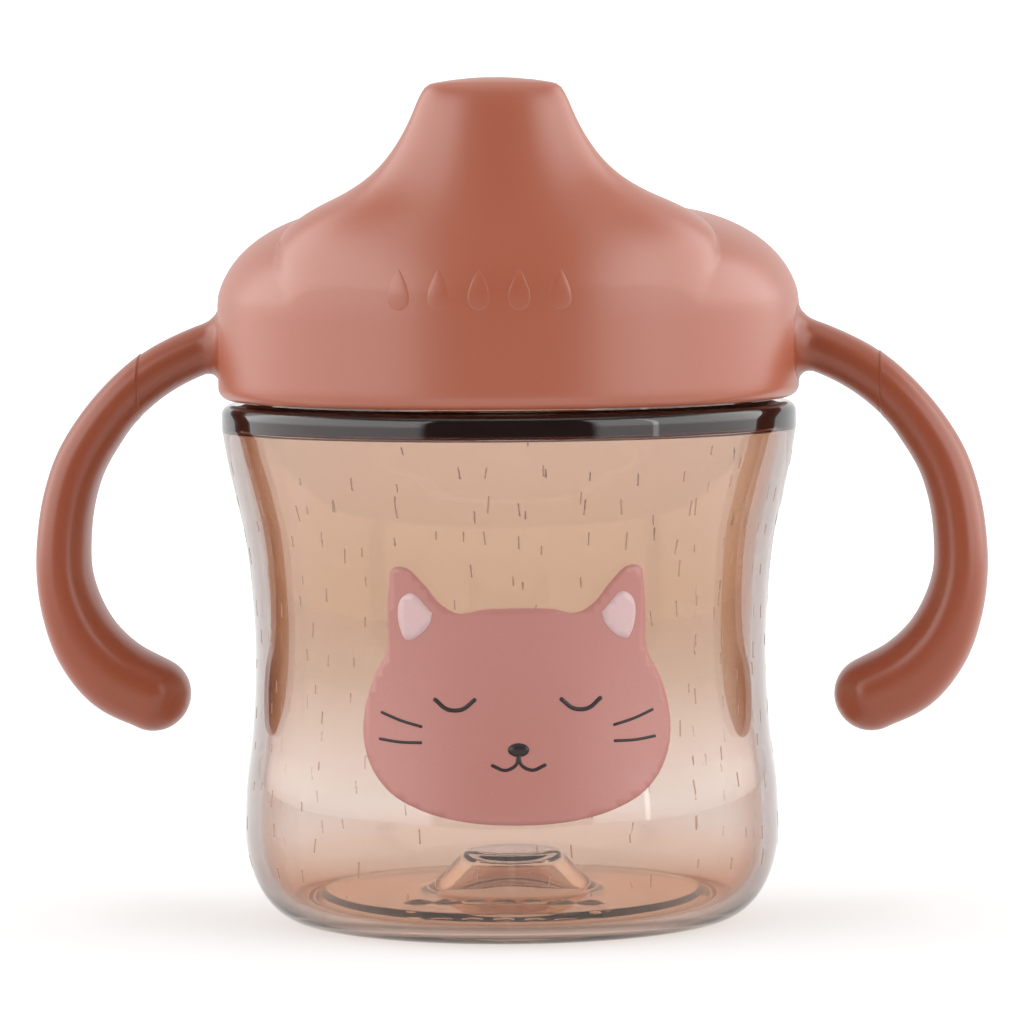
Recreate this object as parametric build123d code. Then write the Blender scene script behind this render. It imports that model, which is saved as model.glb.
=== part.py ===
from build123d import *
import os
from math import cos, radians, sin

# Two-handled sippy cup. Millimetres, +Z up, spout towards -Y, handles along X.
# The origin is on the cup's axis, in the plane of the foot that it stands on.

# Cup body, a clear revolved shell.
rim_radius = 37.1           # outside of the shoulder ring
shoulder_top = 66.8         # height of the shoulder's upper face
cup_wall = 2.0
waist_inset = 4.05          # how far the waist is inside the rim
waist_height = 36.0
bulge_inset = 2.5           # how far the low bulge is inside the rim
bulge_height = 12.0
foot_inset = 7.6            # how far the foot is inside the bulge
flare_inset = 2.4           # outline point half way up the flare
flare_drop = 14.6
shoulder_height = 3.2       # height of the plain band at the rim
shoulder_slope = 3.3        # height of the slope inside it, up to the neck
shoulder_round = 1.3
foot_width = 2.6            # width of the ring that it stands on
foot_recess = 1.2           # how far the underside is raised inside the foot
floor_thickness = 2.2
cone_base_radius = 11.0     # truncated cone raised in the middle of the floor
cone_top_radius = 6.0
cone_height = 5.3

# Neck and its outside thread.
neck_inset = 3.1            # how far the neck is inside the rim
neck_wall = 2.2
neck_height = 10.2
neck_chamfer = 0.5
thread_lead = 12.0          # rise in one full turn
thread_starts = 3
thread_depth = 1.2
thread_root_width = 1.8
thread_crest_width = 1.0
thread_sink = 0.3           # how far a ridge's root is buried in its wall
thread_turn = 110.0         # degrees that each ridge runs
thread_flank_gap = 0.3      # axial play between the two threads
thread_crest_gap = 0.4      # radial play between a crest and the other wall
thread_base_gap = 3.2       # shoulder to the first turn of the neck's thread

# Lid, a domed shell with a spout.
lid_overhang = 0.4          # how far the lid stands out past the rim
lid_gap = 0.6               # shoulder to the lid's lower edge
lid_height = 24.6           # lower edge to the flat top
lid_top_wall = 2.2
dome_width = 19.0           # half axes of the dome's elliptical corner
dome_height = 13.0
shelf_width = 3.0           # inside shelf that presses on the seal
shelf_thickness = 1.3
edge_round = 1.6            # lower outside edge

# Spout, an oval that flares into the dome.
spout_height = 16.2         # above the flat top
spout_tip_half_width = 8.8
spout_tip_depth = 9.0
spout_base_half_width = 21.8
spout_setback = 9.0         # tip's front edge behind the lid wall
spout_root_drop = 12.0      # where the front face leaves the lid wall
spout_wall = 2.0
spout_tip_round = 1.2
spout_flare_back = 11.5     # how far the flare reaches back from the tip
drink_hole_radius = 0.8
drink_hole_pitch = 4.0
drink_hole_count = 3
vent_hole_radius = 0.7

# Stubs under the lid that hold the valve.
stub_length = 5.8
spout_stub_radius = 6.0
spout_stub_wall = 1.6
vent_stub_radius = 4.5
vent_stub_wall = 2.0
spout_stub_inset = 18.5     # lid wall to the axis of the stub under the spout
vent_stub_inset = 23.5      # lid wall to the axis of the stub under the vent

# Silicone valve.
valve_wall = 1.4
valve_clearance = 0.1
valve_lip_gap = 0.8         # between the cups' lips and the lid's ceiling
web_width = 6.0
web_thickness = 2.4
tab_width = 8.0
tab_thickness = 2.4
tab_drop = 7.0

# Silicone seal ring.
seal_thickness = 1.5
seal_width = 3.4
seal_clearance = 0.05

# Handles: centre points outwards from the lid wall and upwards from its lower edge,
# with the section's thickness there and its width along Y.
handle_stations = [
    (-0.8, 7.4, 9.6, 12.0),
    (1.0, 6.8, 7.4, 9.6),
    (3.2, 5.7, 6.3, 8.6),
    (8.2, 2.9, 6.2, 8.6),
    (12.5, -0.9, 6.2, 9.2),
    (17.9, -8.7, 6.4, 10.4),
    (20.5, -16.8, 6.6, 11.4),
    (20.3, -24.3, 7.1, 12.2),
    (18.2, -30.7, 8.4, 12.8),
    (14.0, -35.9, 9.6, 12.8),
    (9.1, -38.5, 9.4, 12.4),
]
grip_joint = 10.2           # lid wall to the ring where the grip is seated
grip_step = 0.15            # how far the grip stands proud of the arm there
grip_tip_steps = 6           # rings of the rounded tip
grip_tip_sweep = 84.0       # degrees from the last station to the small flat at the end
peg_radius = 1.8
peg_length = 5.0

# Sizes that follow from the ones above.
waist_radius = rim_radius - waist_inset
bulge_radius = rim_radius - bulge_inset
flare_radius = rim_radius - flare_inset
foot_radius = bulge_radius - foot_inset
shoulder_base = shoulder_top - shoulder_height
recess_radius = foot_radius - foot_width
floor_level = foot_recess + floor_thickness
outer_floor_level = floor_thickness
neck_radius = rim_radius - neck_inset
neck_bore = neck_radius - neck_wall
neck_top = shoulder_top + neck_height
lid_radius = rim_radius + lid_overhang
lid_bottom = shoulder_top + lid_gap
lid_top = lid_bottom + lid_height
skirt_bore = neck_radius + thread_depth + thread_crest_gap
lid_wall = lid_radius - skirt_bore
shelf_level = neck_top + seal_thickness + 2 * seal_clearance
dome_centre = lid_radius - dome_width
dome_base = lid_top - dome_height
ceiling = lid_top - lid_top_wall
spout_tip = lid_top + spout_height
stub_end = ceiling - stub_length
spout_stub_y = -(lid_radius - spout_stub_inset)
vent_stub_y = lid_radius - vent_stub_inset
grip_x = lid_radius + grip_joint


def revolved(*lines):
    """Solid of revolution about Z from a closed outline's lines, as (radius, height)."""
    edges = [edge for line in lines for edge in line.edges()]
    return revolve(Plane.XZ * make_face(edges), Axis.Z)


def wall_curve(inset):
    """The cup's side outline from the bulge up to the shoulder, moved in by inset."""
    return Spline(
        (bulge_radius - inset, bulge_height),
        (waist_radius - inset, waist_height),
        (flare_radius - inset, shoulder_top - flare_drop),
        (rim_radius - inset, shoulder_base),
        tangents=[(0, 1), (0, 1)],
    )


def corner_curve(inset, level):
    """Quarter ellipse from the floor at level out to the bulge, moved in by inset."""
    centre = (foot_radius, bulge_height)
    half_width = foot_inset - inset
    half_height = bulge_height - level
    return EllipticalCenterArc(centre, half_width, half_height, -90, arc_size=90)


def thread_ridges(wall_radius, direction, level):
    """Helical ridges on a wall, standing out (direction 1) or in (direction -1)."""
    root = wall_radius - direction * thread_sink
    rise = thread_lead * thread_turn / 360
    path = Helix(pitch=thread_lead, height=rise, radius=root)
    slope = (thread_root_width - thread_crest_width) / thread_depth
    buried_width = thread_root_width + slope * thread_sink
    height = thread_depth + thread_sink
    plane = Plane(path @ 0, x_dir=(direction, 0, 0), z_dir=path % 0)
    outline = Polyline(
        (0, -buried_width / 2),
        (height, -thread_crest_width / 2),
        (height, thread_crest_width / 2),
        (0, buried_width / 2),
        close=True,
    )
    ridge = sweep(plane * make_face(outline), path=path, is_frenet=True)
    turn = 360 / thread_starts
    return [Pos(0, 0, level) * Rot(0, 0, turn * i) * ridge for i in range(thread_starts)]


def make_cup_body():
    """Clear cup: foot, bulge, waist, flare, shoulder ring and neck in one moulding."""
    cone_top = floor_level + cone_height
    under_level = foot_recess
    under_cone_top = cone_top - floor_thickness
    step = floor_level - outer_floor_level
    outline = [
        Line((0, cone_top), (0, under_cone_top)),
        Polyline(
            (0, under_cone_top),
            (cone_top_radius - cup_wall / 2, under_cone_top),
            (cone_base_radius - cup_wall / 2, under_level),
            (recess_radius, under_level),
            (recess_radius + foot_recess / 2, 0),
            (foot_radius, 0),
        ),
        corner_curve(0, 0),
        wall_curve(0),
        Line((rim_radius, shoulder_base), (rim_radius, shoulder_top - shoulder_round)),
        RadiusArc(
            (rim_radius, shoulder_top - shoulder_round),
            (rim_radius - shoulder_round, shoulder_top),
            shoulder_round,
        ),
        Polyline(
            (rim_radius - shoulder_round, shoulder_top),
            (neck_radius, shoulder_top),
            (neck_radius, neck_top - neck_chamfer),
            (neck_radius - neck_chamfer, neck_top),
            (neck_bore + neck_chamfer, neck_top),
            (neck_bore, neck_top - neck_chamfer),
            (neck_bore, shoulder_base + shoulder_slope),
            (rim_radius - cup_wall, shoulder_base),
        ),
        wall_curve(cup_wall),
        corner_curve(cup_wall, outer_floor_level),
        Polyline(
            (foot_radius, outer_floor_level),
            (recess_radius + step, outer_floor_level),
            (recess_radius, floor_level),
            (cone_base_radius, floor_level),
            (cone_top_radius, cone_top),
            (0, cone_top),
        ),
    ]
    body = revolved(*outline)
    return body + thread_ridges(neck_radius, 1, shoulder_top + thread_base_gap)


def spout_section(rise, inset):
    """Oval face across the spout at a height above the lid's flat top, cut in by inset."""
    tip_front = -(lid_radius - spout_setback)
    tip_back = tip_front + spout_tip_depth
    slope = spout_setback / (spout_root_drop + spout_height)
    front = tip_front - slope * (spout_height - rise)
    share = min(1, (spout_height - rise) / spout_height)
    back = tip_back + spout_flare_back * share**2
    spread = spout_base_half_width - spout_tip_half_width
    half_width = spout_tip_half_width + spread * share**1.5
    middle = (front + back) / 2
    half_depth = (back - front) / 2
    oval = Ellipse(half_width - inset, half_depth - inset)
    return Pos(0, middle, lid_top + rise) * oval


def spout_solid(low, high, inset):
    """Loft of the spout between two heights above the lid's flat top."""
    steps = 6
    rises = [low + (high - low) * i / steps for i in range(steps + 1)]
    return loft([spout_section(rise, inset) for rise in rises])


def handle_planes(first, last):
    """Section planes square to the handle's centre line, from station first to last."""
    points = [(lid_radius + s[0], 0, lid_bottom + s[1]) for s in handle_stations]
    line = Spline(*points)
    planes = []
    for point in points[first : last + 1]:
        share = line.param_at_point(point)
        planes.append(Plane(point, x_dir=(0, 1, 0), z_dir=line % share))
    return planes


def handle_solid(first, last, grow):
    """Loft of the handle's oval section between two stations, grown by grow."""
    sections = []
    for plane, station in zip(handle_planes(first, last), handle_stations[first : last + 1]):
        thickness, width = station[2], station[3]
        sections.append(plane * Ellipse(width / 2 + grow, thickness / 2 + grow))
    return loft(sections)


def right_side_of(x):
    """Large block on the +X side of a plane, used to cut at the grip's joint."""
    size = 4 * lid_radius
    return Pos(x + size / 2, 0, lid_bottom) * Box(size, size, size)


def make_peg(clearance):
    """Peg at the arm's end that the grip is pushed on to, along the handle's line."""
    start = handle_planes(3, 3)[0]
    low = start.origin
    high = handle_planes(4, 4)[0].origin
    axis = Plane(low, z_dir=high - low)
    length = (grip_x - low.X) / axis.z_dir.X + peg_length
    return axis * Cylinder(
        peg_radius + clearance, length, align=(Align.CENTER, Align.CENTER, Align.MIN)
    )


def make_right_arm():
    """Short arm on the lid's +X side, with its peg."""
    return handle_solid(0, 5, 0) - right_side_of(grip_x) + make_peg(0)


def grip_tip(last):
    """Rounded end of the grip, past its last station."""
    half_width = handle_stations[last][3] / 2 + grip_step
    half_thickness = handle_stations[last][2] / 2 + grip_step
    end = handle_planes(last, last)[0]
    sections = []
    for i in range(grip_tip_steps + 1):
        angle = grip_tip_sweep * i / grip_tip_steps
        share = cos(radians(angle))
        oval = Ellipse(half_width * share, half_thickness * share)
        sections.append(end.offset(half_thickness * sin(radians(angle))) * oval)
    return loft(sections, ruled=True)


def make_right_handle():
    """Curved grip on the +X side, with a socket for the arm's peg and a rounded tip."""
    last = len(handle_stations) - 1
    grip = handle_solid(2, last, grip_step) & right_side_of(grip_x)
    return grip + grip_tip(last) - make_peg(0)


def stub(radius, y):
    """Round boss under the lid's ceiling."""
    height = stub_length + lid_top_wall / 2
    place = Pos(0, y, stub_end)
    return place * Cylinder(radius, height, align=(Align.CENTER, Align.CENTER, Align.MIN))


def make_lid_shell():
    """Opaque screw lid: skirt with inside thread, seal shelf, dome, spout, stubs and arms."""
    corner = (dome_centre, dome_base)
    inner_width = dome_width - lid_wall
    inner_height = dome_height - lid_top_wall
    outer = revolved(
        Polyline((0, lid_top), (0, lid_bottom), (lid_radius - edge_round, lid_bottom)),
        CenterArc((lid_radius - edge_round, lid_bottom + edge_round), edge_round, -90, 90),
        Line((lid_radius, lid_bottom + edge_round), (lid_radius, dome_base)),
        EllipticalCenterArc(corner, dome_width, dome_height, 0, arc_size=90),
        Line((dome_centre, lid_top), (0, lid_top)),
    )
    shelf_top = max(shelf_level + shelf_thickness, dome_base)
    inner = revolved(
        Polyline(
            (0, ceiling),
            (0, lid_bottom),
            (skirt_bore, lid_bottom),
            (skirt_bore, dome_base),
        ),
        EllipticalCenterArc(corner, inner_width, inner_height, 0, arc_size=90),
        Line((dome_centre, ceiling), (0, ceiling)),
    )
    up = (Align.CENTER, Align.CENTER, Align.MIN)
    skirt_hollow = Cylinder(skirt_bore, shelf_level - lid_bottom, align=up)
    inner = inner + Pos(0, 0, lid_bottom) * skirt_hollow
    shelf_height = shelf_top - shelf_level
    shelf = Cylinder(skirt_bore + lid_wall / 2, shelf_height, align=up)
    shelf = shelf - Cylinder(skirt_bore - shelf_width, shelf_height, align=up)
    shelf = Pos(0, 0, shelf_level) * shelf
    arm = make_right_arm()
    chamber_low = spout_solid(-spout_root_drop, -lid_top_wall, spout_wall)
    chamber_high = spout_solid(0, spout_height - spout_wall, spout_wall)
    spout = spout_solid(-spout_root_drop, spout_height, 0)
    tip_edge = spout.faces().sort_by(Axis.Z)[-1].edges()
    spout = fillet(tip_edge, spout_tip_round)
    lid = outer + spout + arm + mirror(arm, about=Plane.YZ)
    lid = lid - inner - chamber_low - chamber_high + shelf
    lid = lid + stub(spout_stub_radius, spout_stub_y) + stub(vent_stub_radius, vent_stub_y)
    spout_bore = Cylinder(spout_stub_radius - spout_stub_wall, 3 * stub_length)
    lid = lid - Pos(0, spout_stub_y, stub_end) * spout_bore
    vent_bore = Cylinder(vent_stub_radius - vent_stub_wall, 2 * stub_length)
    lid = lid - Pos(0, vent_stub_y, stub_end) * vent_bore
    lid = lid - Pos(0, vent_stub_y, lid_top) * Cylinder(vent_hole_radius, 3 * lid_top_wall)
    tip_y = spout_section(spout_height, 0).center().Y
    for i in range(drink_hole_count):
        x = (i - (drink_hole_count - 1) / 2) * drink_hole_pitch
        lid = lid - Pos(x, tip_y, spout_tip) * Cylinder(drink_hole_radius, 3 * spout_wall)
    crest = skirt_bore - thread_depth
    overlap = neck_radius + thread_depth - crest
    flank_slope = (thread_root_width - thread_crest_width) / thread_depth
    offset = thread_crest_width + flank_slope * overlap / 2 + thread_flank_gap
    ridge_level = shoulder_top + thread_base_gap - offset
    return lid + thread_ridges(skirt_bore, -1, ridge_level)


def make_valve():
    """Silicone valve: a closed cup over each stub, joined by a web with a pull tab."""
    floor = stub_end - valve_clearance - valve_wall
    height = ceiling - valve_lip_gap - floor
    up = (Align.CENTER, Align.CENTER, Align.MIN)
    valve = Pos(0, (spout_stub_y + vent_stub_y) / 2, floor) * Box(
        web_width, vent_stub_y - spout_stub_y, web_thickness, align=up
    )
    tab_y = (spout_stub_y + vent_stub_y) / 2
    valve = valve + Pos(0, tab_y, floor - tab_drop) * Box(
        tab_width, tab_thickness, tab_drop + web_thickness, align=up
    )
    stubs = [(spout_stub_radius, spout_stub_y), (vent_stub_radius, vent_stub_y)]
    for radius, y in stubs:
        bore = radius + valve_clearance
        valve = valve + Pos(0, y, floor) * Cylinder(bore + valve_wall, height, align=up)
    for radius, y in stubs:
        bore = radius + valve_clearance
        hollow = Cylinder(bore, height, align=up)
        valve = valve - Pos(0, y, floor + valve_wall) * hollow
    return valve


def make_seal_ring():
    """Flat silicone gasket between the neck's top and the lid's shelf."""
    outer = skirt_bore - seal_clearance
    ring = Cylinder(outer, seal_thickness) - Cylinder(outer - seal_width, seal_thickness)
    middle = neck_top + seal_clearance + seal_thickness / 2
    return Pos(0, 0, middle) * ring


right_handle = make_right_handle()
nodes = {
    "cup_body": make_cup_body(),
    "lid_shell": make_lid_shell(),
    "right_handle": right_handle,
    "left_handle": mirror(right_handle, about=Plane.YZ),
    "valve": make_valve(),
    "seal_ring": make_seal_ring(),
}

os.makedirs("parts", exist_ok=True)
for name, shape in nodes.items():
    export_step(shape, f"parts/{name}.step")
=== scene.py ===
import math
import bpy
import numpy as np
from mathutils import Matrix, Vector
from mathutils.geometry import delaunay_2d_cdt


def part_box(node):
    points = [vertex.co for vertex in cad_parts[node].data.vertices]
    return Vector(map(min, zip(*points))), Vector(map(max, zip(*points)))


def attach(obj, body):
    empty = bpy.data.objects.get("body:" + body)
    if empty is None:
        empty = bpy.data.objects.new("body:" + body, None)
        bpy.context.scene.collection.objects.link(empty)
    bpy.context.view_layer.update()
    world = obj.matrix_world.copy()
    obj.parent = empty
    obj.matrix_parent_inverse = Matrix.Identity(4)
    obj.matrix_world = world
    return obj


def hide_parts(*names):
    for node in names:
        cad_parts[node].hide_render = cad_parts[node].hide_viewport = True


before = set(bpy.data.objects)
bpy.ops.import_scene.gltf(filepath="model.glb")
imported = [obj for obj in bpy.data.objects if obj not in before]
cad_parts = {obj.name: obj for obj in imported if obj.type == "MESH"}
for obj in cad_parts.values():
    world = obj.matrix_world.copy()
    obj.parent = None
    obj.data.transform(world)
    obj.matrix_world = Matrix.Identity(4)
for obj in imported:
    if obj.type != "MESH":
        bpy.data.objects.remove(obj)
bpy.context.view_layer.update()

# Camera: a long lens a little above the cup and slightly to the right of the spout,
# as a product is usually shot, so that both grips and the printed face show.
mm = 0.001
camera_turn = math.radians(4.0)
camera_tilt = math.radians(3.7)
camera_distance = 740 * mm
camera_target = Vector((0.3 * mm, 0, 52.5 * mm))
camera_data = bpy.data.cameras.new("camera")
camera_data.sensor_width = 36
camera_data.lens = 201
camera_data.clip_start = 0.05
camera_data.clip_end = 20
camera = bpy.data.objects.new("camera", camera_data)
bpy.context.scene.collection.objects.link(camera)
bpy.context.scene.camera = camera
camera_back = Vector((
    math.sin(camera_turn) * math.cos(camera_tilt),
    -math.cos(camera_turn) * math.cos(camera_tilt),
    math.sin(camera_tilt),
))
camera_roll = math.radians(-0.45)
camera.rotation_mode = "QUATERNION"
camera.location = camera_target + camera_back * camera_distance
camera.rotation_quaternion = (-camera_back).to_track_quat("-Z", "Y")
camera.rotation_quaternion @= Matrix.Rotation(camera_roll, 3, "Z").to_quaternion()


# Cup body: one clear copolyester moulding with a round foot, a bulge, a waist and a flared
# shoulder that slopes in under a threaded neck. It stands on a ring round its recessed floor.
rim_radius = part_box("cup_body")[1].x
neck_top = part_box("cup_body")[1].z
neck_height = 10.2 * mm
shoulder_top = neck_top - neck_height
shoulder_base = shoulder_top - 3.2 * mm
shoulder_slope = 3.3 * mm
neck_radius = rim_radius - 3.1 * mm
neck_bore = neck_radius - 2.2 * mm
cup_wall = 2.0 * mm
foot_radius = rim_radius - 10.1 * mm
recess_radius = foot_radius - 2.6 * mm
bulge_height = 12 * mm
bulge_radius = rim_radius - 2.5 * mm
foot_recess = 1.2 * mm
floor_thickness = 2.2 * mm
floor_level = foot_recess + floor_thickness
cone_top = floor_level + 5.3 * mm
cone_top_radius = 6 * mm
cone_base_radius = 11 * mm
thread_lead = 12 * mm
thread_turn = 110.0
thread_depth = 1.2 * mm
thread_root = 1.8 * mm
thread_crest = 1.0 * mm
thread_level = shoulder_top + 3.2 * mm


def flowing(points, count):
    """Smooth curve through the points, as count rows of as many columns as they have."""
    points = np.array(points, float)
    chord = np.linalg.norm(np.diff(points[:, :2], axis=0), axis=1)
    along = np.concatenate([[0], np.cumsum(chord)])
    slope = np.gradient(points, along, axis=0)
    where = np.linspace(0, along[-1], count)
    left = np.clip(np.searchsorted(along, where, side="right") - 1, 0, len(chord) - 1)
    span = chord[left][:, None]
    t = ((where - along[left]) / chord[left])[:, None]
    near = (2 * t**3 - 3 * t**2 + 1) * points[left] + (t**3 - 2 * t**2 + t) * span * slope[left]
    far = (3 * t**2 - 2 * t**3) * points[left + 1] + (t**3 - t**2) * span * slope[left + 1]
    return near + far


def rounded(corners, steps=5):
    """Outline through corners given as (across, up, radius), each turned by an arc."""
    out = []
    for i, (x, y, radius) in enumerate(corners):
        here = np.array([x, y])
        if radius == 0 or i in (0, len(corners) - 1):
            out.append(here)
            continue
        back = np.array(corners[i - 1][:2]) - here
        ahead = np.array(corners[i + 1][:2]) - here
        back /= np.linalg.norm(back)
        ahead /= np.linalg.norm(ahead)
        half = math.acos(np.clip(back @ ahead, -1, 1)) / 2
        reach = radius / math.tan(half)
        middle = here + (back + ahead) / np.linalg.norm(back + ahead) * radius / math.sin(half)
        first = here + back * reach - middle
        last = here + ahead * reach - middle
        turn = math.pi - 2 * half
        for k in range(steps + 1):
            share = k / steps
            a = math.sin((1 - share) * turn) / math.sin(turn)
            b = math.sin(share * turn) / math.sin(turn)
            out.append(middle + a * first + b * last)
    return np.array(out)


def spaced(outline, step):
    """The outline with points added so that no stretch is longer than step."""
    out = [outline[0]]
    for a, b in zip(outline[:-1], outline[1:]):
        parts = max(1, math.ceil(np.linalg.norm(b - a) / step))
        out += [a + (b - a) * k / parts for k in range(1, parts + 1)]
    return np.array(out)


def new_piece(name, points, faces, *materials):
    """Smooth-shaded mesh object at the origin."""
    mesh = bpy.data.meshes.new(name)
    mesh.from_pydata([tuple(p) for p in points], [], [tuple(f) for f in faces])
    mesh.update()
    for material in materials:
        mesh.materials.append(material)
    mesh.shade_smooth()
    piece = bpy.data.objects.new(name, mesh)
    bpy.context.scene.collection.objects.link(piece)
    return piece


def grid_faces(rows, columns, first=0):
    """Quads between rings of points, each ring closed on itself."""
    ring, spoke = np.meshgrid(np.arange(rows - 1), np.arange(columns), indexing="ij")
    ahead = (spoke + 1) % columns
    corner = [ring * columns + spoke, ring * columns + ahead]
    corner += [(ring + 1) * columns + ahead, (ring + 1) * columns + spoke]
    return (np.stack(corner, -1).reshape(-1, 4) + first).tolist()


def capped_rings(rings):
    """Points and faces of a closed skin over rings of points, with a pole at each end."""
    rows, columns = rings.shape[:2]
    poles = [rings[0].mean(0), rings[-1].mean(0)]
    points = np.vstack([rings.reshape(-1, 3), poles])
    faces = grid_faces(rows, columns)
    low, high, last = rows * columns, rows * columns + 1, (rows - 1) * columns
    faces += [(low, (j + 1) % columns, j) for j in range(columns)]
    faces += [(high, last + j, last + (j + 1) % columns) for j in range(columns)]
    return points, faces


def ridge_height(turn, height, level):
    """How far the three-start thread stands out of its wall at an angle and a height."""
    top = np.zeros(np.broadcast(turn, height).shape)
    for start in range(3):
        along = (np.degrees(turn) - 120 * start) % 360
        middle = level + thread_lead * along / 360
        flank = (thread_root / 2 - abs(height - middle)) / (thread_root / 2 - thread_crest / 2)
        fade = np.clip(np.minimum(along, thread_turn - along) / 7, 0, 1)
        rise = np.clip(flank, 0, 1) * np.clip(fade, 0, 1)
        top = np.maximum(top, rise * rise * (3 - 2 * rise))
    return top * thread_depth


side_points = [
    (bulge_radius, bulge_height),
    (34.35 * mm, 17.5 * mm),
    (33.65 * mm, 23.0 * mm),
    (33.15 * mm, 29.5 * mm),
    (33.05 * mm, 36.0 * mm),
    (33.4 * mm, 42.5 * mm),
    (34.2 * mm, 49.5 * mm),
    (35.4 * mm, 55.0 * mm),
    (36.5 * mm, 60.0 * mm),
    (rim_radius, shoulder_base),
]
side = flowing(side_points, 84)
quarter = np.linspace(-math.pi / 2, 0, 16)


def corner_arc(inset, level):
    """Quarter ellipse from the foot out to the bulge, moved in by inset."""
    across = foot_radius + (bulge_radius - foot_radius - inset) * np.cos(quarter)
    up = bulge_height + (bulge_height - level) * np.sin(quarter)
    return np.stack([across, up], -1)


under_cone = cone_top - floor_thickness
underside = spaced(rounded([
    (0, under_cone, 0),
    (cone_top_radius - 1 * mm, under_cone, 1.8 * mm),
    (cone_base_radius - 1 * mm, foot_recess, 2.2 * mm),
    (recess_radius, foot_recess, 0.6 * mm),
    (recess_radius + 2.0 * mm, 0, 0.25 * mm),
    (foot_radius, 0, 0),
]), 1.0 * mm)
neck_outline = spaced(rounded([
    (rim_radius, shoulder_base, 0),
    (rim_radius, shoulder_top, 1.3 * mm),
    (neck_radius, shoulder_top, 0.3 * mm),
    (neck_radius, neck_top, 0.5 * mm),
    (neck_bore, neck_top, 0.5 * mm),
    (neck_bore, shoulder_base + shoulder_slope, 0.5 * mm),
    (rim_radius - cup_wall, shoulder_base, 0.4 * mm),
    (side[-4][0] - cup_wall, side[-4][1], 0),
]), 0.35 * mm)
floor_top = rounded([
    (foot_radius, floor_thickness, 0),
    (recess_radius, floor_level, 0.8 * mm),
    (cone_base_radius, floor_level, 2.6 * mm),
    (cone_top_radius, cone_top, 1.2 * mm),
    (0, cone_top, 0),
])
floor_top = spaced(floor_top, 0.4 * mm)
inner_side = (side[:-4] - np.array([cup_wall, 0]))[::-1]
inner_corner = corner_arc(cup_wall, floor_thickness)[::-1]
cup_outline = np.vstack([
    underside[1:-1],
    corner_arc(0, 0)[:-1],
    side[:-1],
    neck_outline[:-1],
    inner_side[:-1],
    inner_corner[:-1],
    floor_top[:-1],
])
front_turns = np.radians(np.linspace(-140, -40, 110, endpoint=False))
back_turns = np.radians(np.linspace(-40, 220, 100, endpoint=False))
turns = np.concatenate([front_turns, back_turns])
across = np.repeat(cup_outline[:, :1], len(turns), 1)
up = np.repeat(cup_outline[:, 1:], len(turns), 1)
on_neck = (abs(across - neck_radius) < 1e-6) & (up < neck_top) & (up > shoulder_top)
across = across + np.where(on_neck, ridge_height(turns[None], up, thread_level), 0)

# a row of raised rings on the floor, in front of the cone, left by the mould's inserts
mark_count = 7
mark_pitch = 3.6 * mm
mark_radius = 1.25 * mm
mark_line = 0.28 * mm
mark_depth = 0.28 * mm
mark_row_y = -15.2 * mm
on_floor = abs(up - floor_level) < 1e-6
flat_x, flat_y = across * np.cos(turns), across * np.sin(turns)
for i in range(mark_count):
    mark_x = (i - (mark_count - 1) / 2) * mark_pitch
    away = np.hypot(flat_x - mark_x, flat_y - mark_row_y)
    bead = np.clip(1 - abs(away - mark_radius) / (2 * mark_line), 0, 1)
    up = up + np.where(on_floor, mark_depth * bead * bead * (3 - 2 * bead), 0)
rings = np.stack([across * np.cos(turns), across * np.sin(turns), up], -1)

clear_plastic = bpy.data.materials.new("clear_copolyester")
tinted_plastic = bpy.data.materials.new("clear_copolyester_inside")


def wired(tree, kind, terms, **settings):
    """New node with its settings made and each named input set to a value or linked."""
    node = tree.nodes.new(kind)
    for name, setting in settings.items():
        setattr(node, name, setting)
    for name, term in terms.items():
        if isinstance(term, bpy.types.NodeSocket):
            tree.links.new(term, node.inputs[name])
        else:
            node.inputs[name].default_value = term
    return node


def maths(tree, operation, *terms):
    """Result of a math node with each term a number or a socket."""
    terms = dict(enumerate(terms))
    return wired(tree, "ShaderNodeMath", terms, operation=operation).outputs[0]


def moulded_surface():
    """Node group: faint waviness and uneven gloss of a moulded surface."""
    tree = bpy.data.node_groups.new("moulded_surface", "ShaderNodeTree")
    inputs = {"Wave Size": 9.0, "Grain Size": 900.0, "Gloss Low": 0.2, "Gloss High": 0.3}
    for name, value in inputs.items():
        socket = tree.interface.new_socket(name, in_out="INPUT", socket_type="NodeSocketFloat")
        socket.default_value = value
    for name in ("Roughness", "Height", "Mottle"):
        tree.interface.new_socket(name, in_out="OUTPUT", socket_type="NodeSocketFloat")
    given = tree.nodes.new("NodeGroupInput").outputs
    place = tree.nodes.new("ShaderNodeTexCoord").outputs["Object"]
    wave = wired(tree, "ShaderNodeTexNoise", {
        "Vector": place, "Scale": given["Wave Size"], "Detail": 1.0,
    }).outputs["Fac"]
    grain = wired(tree, "ShaderNodeTexNoise", {
        "Vector": place, "Scale": given["Grain Size"], "Detail": 2.0,
    }).outputs["Fac"]
    gloss = wired(tree, "ShaderNodeMapRange", {
        "Value": wave, "From Min": 0.1, "From Max": 0.9,
        "To Min": given["Gloss Low"], "To Max": given["Gloss High"],
    }, interpolation_type="SMOOTHSTEP")
    both = wired(tree, "ShaderNodeMix", {"Factor": 0.25, "A": wave, "B": grain})
    wired(tree, "NodeGroupOutput", {
        "Roughness": gloss.outputs["Result"], "Height": both.outputs["Result"], "Mottle": grain,
    })
    return tree


moulded = moulded_surface()


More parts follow.
